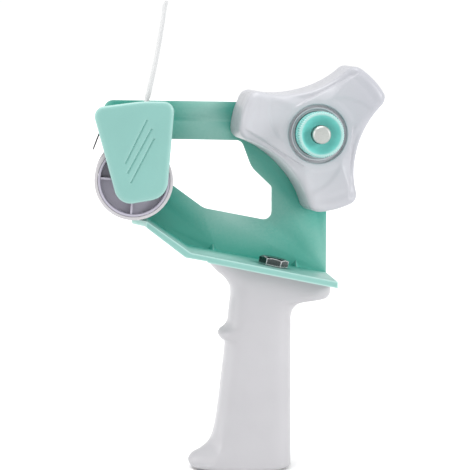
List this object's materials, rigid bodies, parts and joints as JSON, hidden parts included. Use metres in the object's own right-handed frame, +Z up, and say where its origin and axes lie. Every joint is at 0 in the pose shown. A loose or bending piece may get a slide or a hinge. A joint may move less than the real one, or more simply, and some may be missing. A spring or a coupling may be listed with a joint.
{
  "type": "packing tape dispenser",
  "caption": "Hand-held packing tape gun: windowed side frame on an upright grip, three-lobed tape hub with tension knob, pressure roller, toothed blade and sprung wiper flap.",
  "frame": {"origin": "middle of the handle's flat foot", "axes": "+Z up along the handle, +X to the rear of the gun away from the roller, +Y towards the side plate"},
  "size_m": [0.1436, 0.0745, 0.2318],
  "materials": {
    "side_frame": "satin moulded",
    "handle": "satin moulded",
    "handle_insert": "machined",
    "handle_bolt": "bright plated",
    "hub_axle": "machined",
    "axle_washer": "zinc",
    "axle_nut": "zinc",
    "front_guard": "satin moulded",
    "guard_screw_1": "zinc",
    "guard_screw_2": "zinc",
    "blade": "cold rolled",
    "blade_screw_1": "zinc",
    "blade_screw_2": "zinc",
    "flap_clamp": "satin moulded",
    "clamp_screw_1": "zinc",
    "clamp_screw_2": "zinc",
    "roller_axle": "ground",
    "roller_clip": "spring steel",
    "pressure_washer": "zinc",
    "tension_spring": "drawn wire",
    "roller_core": "moulded",
    "roller_sleeve": "matt",
    "tape_hub": "satin gloss",
    "friction_disc": "felt",
    "thrust_washer": "zinc",
    "tension_knob": "knurled",
    "knob_insert": "machined",
    "wiper_flap": "translucent sheet"
  },
  "bodies": {
    "frame": {"side_frame": "side_frame", "handle": "handle", "handle_insert": "handle_insert", "handle_bolt": "handle_bolt", "hub_axle": "hub_axle", "axle_washer": "axle_washer", "axle_nut": "axle_nut", "front_guard": "front_guard", "guard_screw_1": "guard_screw_1", "guard_screw_2": "guard_screw_2", "blade": "blade", "blade_screw_1": "blade_screw_1", "blade_screw_2": "blade_screw_2", "flap_clamp": "flap_clamp", "clamp_screw_1": "clamp_screw_1", "clamp_screw_2": "clamp_screw_2", "roller_axle": "roller_axle", "roller_clip": "roller_clip", "pressure_washer": "pressure_washer", "tension_spring": "tension_spring"},
    "roller": {"roller_core": "roller_core", "roller_sleeve": "roller_sleeve"},
    "hub": {"tape_hub": "tape_hub", "friction_disc": "friction_disc"},
    "tension_carrier": {"thrust_washer": "thrust_washer"},
    "knob": {"tension_knob": "tension_knob", "knob_insert": "knob_insert"},
    "flap": {"wiper_flap": "wiper_flap"}
  },
  "joints": [
    {"name": "roller_spin", "type": "hinge", "parent": "frame", "child": "roller", "pos_m": [-0.0524, 0, 0.1455], "axis": [0, 1, 0], "continuous": true},
    {"name": "hub_spin", "type": "hinge", "parent": "frame", "child": "hub", "pos_m": [0.037, 0, 0.1678], "axis": [0, 1, 0], "continuous": true},
    {"name": "tension_travel", "type": "slide", "parent": "frame", "child": "tension_carrier", "axis": [0, 1, 0], "range_m": [-0.00063, 0.00126], "deforming": ["tension_spring"]},
    {"name": "knob_turn", "type": "hinge", "parent": "tension_carrier", "child": "knob", "pos_m": [0.037, 0, 0.1678], "axis": [0, 1, 0], "range_deg": [-180, 360]},
    {"name": "wiper_flex", "type": "hinge", "parent": "frame", "child": "flap", "pos_m": [-0.0475, 0, 0.176], "axis": [0, 1, 0], "range_deg": [-18, 20], "stiffness_Nm_per_rad": 0.05}
  ],
  "couplings": [
    {"joint": "tension_travel", "follows": "knob_turn", "m_per_rad": 0.00019894}
  ]
}
